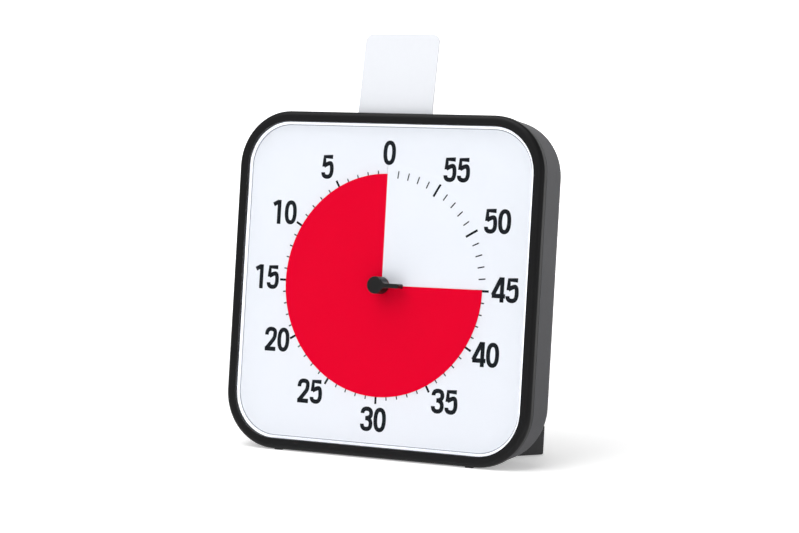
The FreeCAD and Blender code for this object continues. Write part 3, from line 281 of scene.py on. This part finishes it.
@dataclass(frozen=True)
class PrintedSheet:
    """Smooth printed card or film, with a faint fibre in its tone."""

    name: str
    colour: Colour
    roughness: float
    coat: float = 0.0
    gloss: float = 0.15
    # Emission strength, used for a painted highlight; only the white step has it.
    glow: float = 0.0
    fibre_scale: float = 420.0
    cloud_scale: float = 16.0
    darkest: float = 0.975
    lightest: float = 1.02
    roughness_spread: float = 0.08
    coat_roughness: float = 0.08
    fibre_depth: float = 0.04 * MM

    def make(self) -> bpy.types.Material:
        """Return the material."""
        graph = Graph(self.name)
        fibre = graph.noise(self.fibre_scale, 6.0)
        cloud = graph.noise(self.cloud_scale, 2.0)
        low = scaled(self.colour, self.darkest)
        high = scaled(self.colour, self.lightest)
        return graph.finish(graph.principled(
            Base_Color=graph.tint(fibre * 0.5 + cloud * 0.5, low, high),
            Roughness=self.roughness - self.roughness_spread / 2 + self.roughness_spread * fibre,
            Specular_IOR_Level=self.gloss,
            Coat_Weight=self.coat,
            Coat_Roughness=self.coat_roughness,
            Emission_Color=(*self.colour, 1.0),
            Emission_Strength=self.glow,
            Normal=graph.bump(fibre, 0.04, self.fibre_depth)))


@dataclass(frozen=True)
class ClearCover:
    """Clear moulded plastic that shows its gloss at a slant."""

    name: str
    tint: Colour
    roughness: float = 0.05
    slant_index: float = 1.3
    gloss_share: float = 0.1
    haze_scale: float = 30.0

    def make(self) -> bpy.types.Material:
        """Return the material."""
        graph = Graph(self.name)
        haze = graph.noise(self.haze_scale, 2.0)
        slant = graph.node("ShaderNodeFresnel", {}, {"IOR": self.slant_index})
        clear = graph.node("ShaderNodeBsdfTransparent", {}, {"Color": (*self.tint, 1.0)})
        gloss = graph.node("ShaderNodeBsdfGlossy", {}, {
            "Color": (1.0, 1.0, 1.0, 1.0), "Roughness": self.roughness})
        share = slant * (self.gloss_share + self.gloss_share * haze)
        return graph.finish(graph.node("ShaderNodeMixShader", {}, [share, clear, gloss]))


@dataclass(frozen=True)
class WorkedMetal:
    """Turned, stamped or plated metal with fine marks."""

    name: str
    colour: Colour
    roughness: float
    fine_scale: float = 1500.0
    broad_scale: float = 90.0
    darkest: float = 0.85
    roughness_spread: float = 0.12
    mark_depth: float = 0.03 * MM

    def make(self) -> bpy.types.Material:
        """Return the material."""
        graph = Graph(self.name)
        fine = graph.noise(self.fine_scale, 3.0)
        broad = graph.noise(self.broad_scale, 2.0)
        return graph.finish(graph.principled(
            Base_Color=graph.tint(broad, scaled(self.colour, self.darkest), self.colour),
            Metallic=1.0,
            Roughness=self.roughness - self.roughness_spread / 2 + self.roughness_spread * fine,
            Normal=graph.bump(fine, 0.12, self.mark_depth)))


BEZEL_BLACK = MouldedPlastic("bezel_black", (0.008, 0.008, 0.0085), 0.36, Surface.SATIN,
                             gloss=0.14)
SHELL_CHARCOAL = MouldedPlastic("shell_charcoal", (0.036, 0.036, 0.042), 0.5, Surface.SPARK,
                                gloss=0.2)
KNOB_BLACK = MouldedPlastic("knob_black", (0.008, 0.008, 0.0085), 0.34, Surface.SATIN,
                            gloss=0.25)
FOOT_BLACK = MouldedPlastic("foot_black", (0.014, 0.014, 0.016), 0.45, Surface.SPARK)
RUBBER_DARK = MouldedPlastic("rubber_dark", (0.02, 0.02, 0.021), 0.8, Surface.SPARK)
DIAL_WHITE = PrintedSheet("dial_white", (0.862, 0.880, 0.905), 0.55)
# The white step glows: a painted highlight, the bright line where the lens edge catches the
# light.
STEP_WHITE_PAINTED_HIGHLIGHT = PrintedSheet("step_white_painted_highlight", (0.90, 0.91, 0.93), 0.4, glow=0.45)
# A thin grey line of painted shadow, cast by the white step on the dial sheet.
STEP_SHADOW_GREY = PrintedSheet("painted_step_shadow", (0.30, 0.31, 0.34), 0.5)
INK_DARK = PrintedSheet("ink_dark", (0.007, 0.009, 0.012), 0.5, gloss=0.1)
FILM_RED = PrintedSheet("film_red", (0.80, 0.0004, 0.024), 0.5, gloss=0.01)
CARD_WHITE = PrintedSheet("card_white", (0.75, 0.77, 0.81), 0.3, 0.1)
LENS_CLEAR = ClearCover("lens_clear", (0.985, 0.99, 1.0))
TRAY_WHITE = MouldedPlastic("tray_white", (0.78, 0.79, 0.80), 0.5, Surface.SATIN, 0.04)
GEAR_IVORY = MouldedPlastic("gear_ivory", (0.76, 0.73, 0.64), 0.45, Surface.POLISHED, 0.05)
MOVEMENT_GREY = MouldedPlastic("movement_grey", (0.22, 0.22, 0.235), 0.5, Surface.SATIN)
BOARD_GREEN = MouldedPlastic("board_green", (0.02, 0.16, 0.06), 0.35, Surface.POLISHED, 0.2)
CELL_JACKET = MouldedPlastic("cell_jacket", (0.10, 0.11, 0.13), 0.3, Surface.POLISHED)
STEEL = WorkedMetal("steel", (0.58, 0.58, 0.60), 0.34)
NICKEL = WorkedMetal("nickel", (0.68, 0.67, 0.63), 0.26)
MAGNET = WorkedMetal("magnet", (0.12, 0.12, 0.13), 0.5)
COPPER = WorkedMetal("copper", (0.72, 0.33, 0.14), 0.32)

NODE_FINISHES: dict[str, Finish] = {
    "front_bezel": BEZEL_BLACK, "rear_shell": SHELL_CHARCOAL, "card_pocket": SHELL_CHARCOAL,
    "battery_door": SHELL_CHARCOAL, "knob": KNOB_BLACK, "volume_knob": KNOB_BLACK,
    "foot_left": FOOT_BLACK, "foot_right": FOOT_BLACK, "front_pads": RUBBER_DARK,
    "lens": LENS_CLEAR, "lens_rim": STEP_WHITE_PAINTED_HIGHLIGHT, "dial_sheet": DIAL_WHITE,
    "dial_tray": TRAY_WHITE, "red_disc": FILM_RED, "disc_hub": TRAY_WHITE,
    "message_card": CARD_WHITE, "movement_base": MOVEMENT_GREY,
    "movement_cover": MOVEMENT_GREY, "coil_bobbin": MOVEMENT_GREY, "sounder": FOOT_BLACK,
    "volume_pot": FOOT_BLACK, "circuit_board": BOARD_GREEN, "battery": CELL_JACKET,
    "centre_wheel": GEAR_IVORY, "idler_wheel": GEAR_IVORY, "motor_rotor": MAGNET,
    "motor_stator": STEEL, "coil_winding": COPPER, "spindle": STEEL,
    "clutch_spring": NICKEL, "contact_plate": NICKEL, "contact_spring": NICKEL,
    "foot_pin_left": STEEL, "foot_pin_right": STEEL, "case_screws": STEEL,
    "movement_screws": STEEL, "board_screws": STEEL,
}


class Finishes:
    """Makes each finish once and gives it to pieces."""

    def __init__(self) -> None:
        """Start with no material made."""
        self.made: dict[str, bpy.types.Material] = {}

    def get(self, finish: Finish) -> bpy.types.Material:
        """Return the material of a finish.

        Args:
            finish: One of the finishes above.

        Returns:
            Its material, made on first use.
        """
        if finish.name not in self.made:
            self.made[finish.name] = finish.make()
        return self.made[finish.name]

    def dress(self, piece: bpy.types.Object, finish: Finish) -> None:
        """Give a piece one finish all over.

        Args:
            piece: The piece.
            finish: Its finish.
        """
        piece.data.materials.clear()
        piece.data.materials.append(self.get(finish))


@dataclass(frozen=True)
class CaseAxes:
    """The case's leaning axes: across, up the face, and towards the viewer."""

    centre: Vector
    toward: Vector

    @classmethod
    def from_frame(cls) -> "CaseAxes":
        """Read the dial's centre and axis from the frame's joint.

        Returns:
            The axes.
        """
        joints = frame["record"]["behaviour"]["joints"]
        dial = [joint for joint in joints if joint["name"] == "dial_turn"][0]
        return cls(Vector(dial["pos_m"]), Vector(dial["axis"]).normalized())

    def matrix(self) -> Matrix:
        """Map a place on the dial to the frame.

        Returns:
            The map from (across, up, towards the viewer).
        """
        across = Vector((1, 0, 0))
        up = self.toward.cross(across)
        turn = Matrix((across, up, self.toward)).transposed().to_4x4()
        return Matrix.Translation(self.centre) @ turn


@dataclass
class DialPrint:
    """Minute marks and numbers printed on the dial, and a thin line of painted shadow at the
    foot of the white step.

    major and minor give the marks' inner radius, outer radius and width. A number's stroke,
    width and gap are shares of its height, and its place is in number units.
    """

    axes: CaseAxes
    finishes: Finishes
    sheet_front: float = 0.175 * MM
    ink: float = 0.03 * MM
    twist_rise: float = 0.8 * MM
    twist_radius: float = 62.6 * MM
    flat_radius: float = 66.8 * MM
    slit_angle: float = math.radians(0.5)
    major: tuple[float, float, float] = (57.8 * MM, 65.6 * MM, 1.25 * MM)
    minor: tuple[float, float, float] = (59.5 * MM, 63.6 * MM, 0.7 * MM)
    number_unit: float = 65.6 * MM
    number_height: float = 13.6 * MM
    stroke: float = 0.176
    digit_width: float = 0.575
    digit_gap: float = 0.035
    # Size and corners of the painted step shadow line.
    line_half: float = 87.75 * MM
    line_width: float = 0.4 * MM
    line_corner: float = 23.9 * MM
    corner_steps: int = 16

    def rise(self, across: float, up: float) -> float:
        """Return how far the sheet's face lies in front of the dial's plane.

        Args:
            across: Distance to the right of the dial's centre.
            up: Distance above it.

        Returns:
            The face's height towards the viewer.
        """
        radius = math.hypot(across, up)
        angle = (math.atan2(-across, up) - self.slit_angle) % math.tau
        share = angle / math.tau - 0.5
        calm = (radius - self.twist_radius) / (self.flat_radius - self.twist_radius)
        calm = min(1.0, max(0.0, calm))
        return self.sheet_front + self.twist_rise * share * (1 - calm)

    def settle(self, mesh: bmesh.types.BMesh) -> None:
        """Drop a flat print on the sheet, following its twist.

        Args:
            mesh: The print, made flat over the dial's centre.
        """
        for vert in mesh.verts:
            vert.co.z += self.rise(vert.co.x, vert.co.y)
        mesh.transform(self.axes.matrix())

    def ticks(self) -> bpy.types.Object:
        """Make the minute marks.

        Returns:
            The piece that holds them all.
        """
        mesh = bmesh.new()
        for minute in range(1, MINUTES):
            near, far, width = self.minor if minute % NUMBER_STEP else self.major
            turn = Matrix.Rotation(math.tau * minute / MINUTES, 4, "Z")
            reach = Matrix.Translation((0, (near + far) / 2, self.ink / 2))
            grow = Matrix.Diagonal((width, far - near, self.ink, 1))
            corners = bmesh.ops.create_cube(mesh, size=1.0, matrix=turn @ reach @ grow)["verts"]
            geometry = [*corners, *{edge for vert in corners for edge in vert.link_edges},
                        *{face for vert in corners for face in vert.link_faces}]
            way = turn @ Vector((0, 1, 0))
            bmesh.ops.bisect_plane(mesh, geom=geometry, plane_co=way * self.twist_radius,
                                   plane_no=way)
        self.settle(mesh)
        return new_piece("minute_ticks", mesh, "case", self.finishes, INK_DARK)

    def strokes(self, digit: int) -> list[tuple[bool, list[tuple[float, float]]]]:
        """Return a digit's centre lines.

        Args:
            digit: The digit, 0 to 5.

        Returns:
            For each line, whether it is smooth, and its points in shares of the digit's height.
        """
        inset = self.stroke / 2
        left, right = inset, self.digit_width - inset
        low, high = inset, 1 - inset
        middle = (left + right) / 2
        return {
            0: [(True, [(left, low), (right, low), (right, high), (left, high)])],
            1: [(False, [(middle + 0.05, 0), (middle + 0.05, 1)]),
                (False, [(middle + 0.02, 0.93), (left - 0.02, 0.80)])],
            2: [(True, [(left, 0.66), (left, high), (right, high), (right, 0.62),
                        (right - 0.08, 0.46), (left, low)]),
                (False, [(0.02, low), (right + 0.05, low)])],
            3: [(True, [(left, 0.72), (left, high), (right, high), (right, 0.53),
                        (middle - 0.06, 0.53)]),
                (True, [(middle - 0.06, 0.53), (right, 0.53), (right, low), (left, low),
                        (left, 0.29)])],
            4: [(False, [(right - 0.09, 0.97), (left - 0.04, 0.27)]),
                (False, [(left - 0.08, 0.25), (right + 0.11, 0.25)]),
                (False, [(right - 0.04, 0), (right - 0.04, 1)])],
            5: [(False, [(right + 0.03, high), (left + 0.05, high), (left + 0.03, 0.50)]),
                (True, [(left + 0.03, 0.53), (middle, 0.64), (right, 0.66), (right, low),
                        (left, low), (left, 0.27)])],
        }[digit]

    def number(self, text: str, across: float, up: float) -> bmesh.types.BMesh:
        """Make one number with its centre at a point of the dial.

        Args:
            text: The number's digits.
            across: The centre's distance to the right.
            up: The centre's distance up.

        Returns:
            A new mesh of its strokes.
        """
        curve = bpy.data.curves.new(f"number_{text}", "CURVE")
        curve.dimensions = "3D"
        curve.bevel_depth = self.stroke / 2
        curve.bevel_resolution = 1
        curve.resolution_u = 8
        curve.use_fill_caps = True
        width = len(text) * self.digit_width + (len(text) - 1) * self.digit_gap
        for place, digit in enumerate(text):
            start = place * (self.digit_width + self.digit_gap) - width / 2
            for smooth, points in self.strokes(int(digit)):
                spline = curve.splines.new("NURBS" if smooth else "POLY")
                spline.points.add(len(points) - 1)
                for point, (x, y) in zip(spline.points, points):
                    point.co = (start + x, y - 0.5, 0, 1)
                spline.use_cyclic_u = digit == "0"
                spline.use_endpoint_u = not spline.use_cyclic_u
                spline.order_u = 3
        holder = bpy.data.objects.new(f"number_{text}_curve", curve)
        flat = bpy.data.meshes.new_from_object(holder)
        mesh = bmesh.new()
        mesh.from_mesh(flat)
        bpy.data.objects.remove(holder)
        bpy.data.curves.remove(curve)
        bpy.data.meshes.remove(flat)
        height = self.number_height
        squeeze = self.ink / (self.stroke * height)
        mesh.transform(Matrix.Translation((across, up, self.ink / 2))
                       @ Matrix.Diagonal((height, height, height * squeeze, 1)))
        return mesh

    def numbers(self) -> bpy.types.Object:
        """Make the twelve numbers.

        Returns:
            The piece that holds them all.
        """
        spots = {
            0: (0.0, 1.1175), 5: (-0.5925, 0.9825), 10: (-0.995, 0.58), 15: (-1.135, 0.0175),
            20: (-0.995, -0.515), 25: (-0.642, -0.937), 30: (-0.012, -1.13),
            35: (0.65, -0.9325), 40: (1.005, -0.52), 45: (1.15, 0.02), 50: (1.045, 0.58),
            55: (0.6425, 0.9925),
        }
        whole = bmesh.new()
        for minute, (across, up) in spots.items():
            part = self.number(str(minute), across * self.number_unit, up * self.number_unit)
            flat = bpy.data.meshes.new("number_part")
            part.to_mesh(flat)
            part.free()
            whole.from_mesh(flat)
            bpy.data.meshes.remove(flat)
        self.settle(whole)
        return new_piece("dial_numbers", whole, "case", self.finishes, INK_DARK)

    def rounded_square(self, half: float) -> list[tuple[float, float]]:
        """Return the points of a square with rounded corners.

        Args:
            half: Half the square's width.

        Returns:
            The points, corner by corner.
        """
        inside = half - self.line_corner
        points = []
        for right, top in ((1, 1), (-1, 1), (-1, -1), (1, -1)):
            start = math.atan2(top, right) - math.tau / 8
            for step in range(self.corner_steps):
                angle = start + math.tau / 4 * step / (self.corner_steps - 1)
                points.append((right * inside + self.line_corner * math.cos(angle),
                               top * inside + self.line_corner * math.sin(angle)))
        return points

    def edge_line(self) -> bpy.types.Object:
        """Make the thin grey line along the edge of the white step, a painted shadow that the
        step casts on the sheet.

        Returns:
            The piece, a flat ring with rounded corners.
        """
        mesh = bmesh.new()
        outside = self.rounded_square(self.line_half)
        inside = self.rounded_square(self.line_half - self.line_width)
        rings = [[mesh.verts.new((across, up, height)) for across, up in points]
                 for points, height in ((outside, 0.0), (outside, self.ink),
                                        (inside, self.ink), (inside, 0.0))]
        for first, second in zip(rings, rings[1:] + rings[:1]):
            for place in range(len(first)):
                after = (place + 1) % len(first)
                mesh.faces.new((first[place], first[after], second[after], second[place]))
        self.settle(mesh)
        return new_piece("edge_line", mesh, "case", self.finishes, STEP_SHADOW_GREY)

    def build(self) -> list[bpy.types.Object]:
        """Make all the print and the painted step shadow line.

        Returns:
            Its pieces.
        """
        return [self.ticks(), self.numbers(), self.edge_line()]


def new_piece(name: str, mesh: bmesh.types.BMesh, body: str, finishes: Finishes,
              finish: Finish) -> bpy.types.Object:
    """Turn a bmesh into a shown piece that rides on a body.

    Args:
        name: The piece's name.
        mesh: Its mesh in the row frame, freed here.
        body: The body that it rides on.
        finishes: Where the materials are kept.
        finish: The piece's finish.

    Returns:
        The piece.
    """
    bmesh.ops.recalc_face_normals(mesh, faces=mesh.faces)
    data = bpy.data.meshes.new(name)
    mesh.to_mesh(data)
    mesh.free()
    for face in data.polygons:
        face.use_smooth = False
    piece = bpy.data.objects.new(name, data)
    bpy.context.scene.collection.objects.link(piece)
    finishes.dress(piece, finish)
    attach(piece, body)
    LOG.info("%s rides on %s", name, body)
    return piece


@dataclass
class PhotoCamera:
    """The photograph's camera, placed from the dial's centre."""

    axes: CaseAxes
    offset: tuple[float, float, float] = (0.6517, -1.1927, 0.1490)
    azimuth: float = math.radians(28.25)
    pitch: float = math.radians(-5.82)
    lens: float = 111.6

    def build(self) -> bpy.types.Object:
        """Make the camera and use it.

        Returns:
            The camera.
        """
        data = bpy.data.cameras.new("photo_camera")
        data.lens = self.lens
        data.sensor_width = 36.0
        data.clip_start = 0.01
        camera = bpy.data.objects.new("photo_camera", data)
        camera.location = self.axes.centre + Vector(self.offset)
        camera.rotation_euler = (math.pi / 2 + self.pitch, 0, self.azimuth)
        bpy.context.scene.collection.objects.link(camera)
        bpy.context.scene.camera = camera
        return camera


@dataclass(frozen=True)
class SoftLight:
    """A square soft light: where it stands, its side and its power in watts."""

    name: str
    spot: tuple[float, float, float]
    side: float
    power: float


@dataclass
class Studio:
    """White sweep and soft lights.

    The floor glows a little near the object and more behind it, from glow_from to glow_full.
    """

    reach: float = 3.0
    sweep: float = 0.9
    glow_from: float = 0.15
    glow_full: float = 0.8
    grid: tuple[int, int] = (24, 96)
    white: Colour = (0.95, 0.95, 0.95)
    near_glow: Colour = (0.36, 0.36, 0.36)
    far_glow: Colour = (0.95, 0.95, 0.95)
    sky: float = 0.3
    target: tuple[float, float, float] = (0.0, 0.0, 0.1)
    lights: tuple[SoftLight, ...] = (
        SoftLight("top_light", (-0.2, -0.3, 1.5), 1.2, 13.0),
        SoftLight("left_light", (-0.9, -1.6, 1.7), 2.0, 23.5),
        SoftLight("right_light", (1.5, -0.7, 0.4), 1.0, 2.5),
    )

    def floor(self) -> bpy.types.Object:
        """Make the floor, curved up behind the object.

        Returns:
            The floor.
        """
        mesh = bmesh.new()
        across, deep = self.grid
        bmesh.ops.create_grid(mesh, x_segments=across, y_segments=deep, size=self.reach)
        bend_at = self.reach / 2
        for vert in mesh.verts:
            along = vert.co.y - bend_at
            if along > 0:
                angle = min(along / self.sweep, math.pi / 2)
                extra = max(0.0, along - self.sweep * math.pi / 2)
                vert.co.y = bend_at + self.sweep * math.sin(angle)
                vert.co.z = self.sweep * (1 - math.cos(angle)) + extra
        data = bpy.data.meshes.new("floor")
        mesh.to_mesh(data)
        mesh.free()
        for face in data.polygons:
            face.use_smooth = True
        floor = bpy.data.objects.new("floor", data)
        graph = Graph("floor_white")
        away = graph.node("ShaderNodeSeparateXYZ", {}, [graph.place()], "Y")
        fade = graph.node("ShaderNodeMapRange", {"interpolation_type": "SMOOTHSTEP"},
                          [away, self.glow_from, self.glow_full, 0.0, 1.0])
        data.materials.append(graph.finish(graph.principled(
            Base_Color=(*self.white, 1.0), Roughness=0.8, Specular_IOR_Level=0.1,
            Emission_Color=graph.tint(fade, self.near_glow, self.far_glow),
            Emission_Strength=1.0)))
        bpy.context.scene.collection.objects.link(floor)
        return floor

    def light(self, soft: SoftLight) -> None:
        """Add one soft light that faces the object.

        Args:
            soft: The light.
        """
        data = bpy.data.lights.new(soft.name, "AREA")
        data.size = soft.side
        data.energy = soft.power
        lamp = bpy.data.objects.new(soft.name, data)
        lamp.location = soft.spot
        way = Vector(self.target) - Vector(soft.spot)
        lamp.rotation_euler = way.to_track_quat("-Z", "Y").to_euler()
        bpy.context.scene.collection.objects.link(lamp)

    def build(self) -> None:
        """Make the floor, the sky and the lights."""
        self.floor()
        scene = bpy.context.scene
        scene.view_settings.view_transform = "Standard"
        world = bpy.data.worlds.new("sky")
        world.use_nodes = True
        background = world.node_tree.nodes["Background"]
        background.inputs["Color"].default_value = (1.0, 1.0, 1.0, 1.0)
        background.inputs["Strength"].default_value = self.sky
        scene.world = world
        for soft in self.lights:
            self.light(soft)


def dress_frame(finishes: Finishes) -> None:
    """Give every CAD node its finish.

    Args:
        finishes: Where the materials are kept.
    """
    for node, piece in frame["nodes"].items():
        finishes.dress(piece, NODE_FINISHES[node])
        LOG.info("%s wears %s", node, NODE_FINISHES[node].name)


def main() -> None:
    """Build the scene in order."""
    logging.basicConfig(level=logging.INFO)
    axes = CaseAxes.from_frame()
    finishes = Finishes()
    PhotoCamera(axes).build()
    dress_frame(finishes)
    DialPrint(axes, finishes).build()
    Studio().build()


if __name__ == "__main__":
    main()
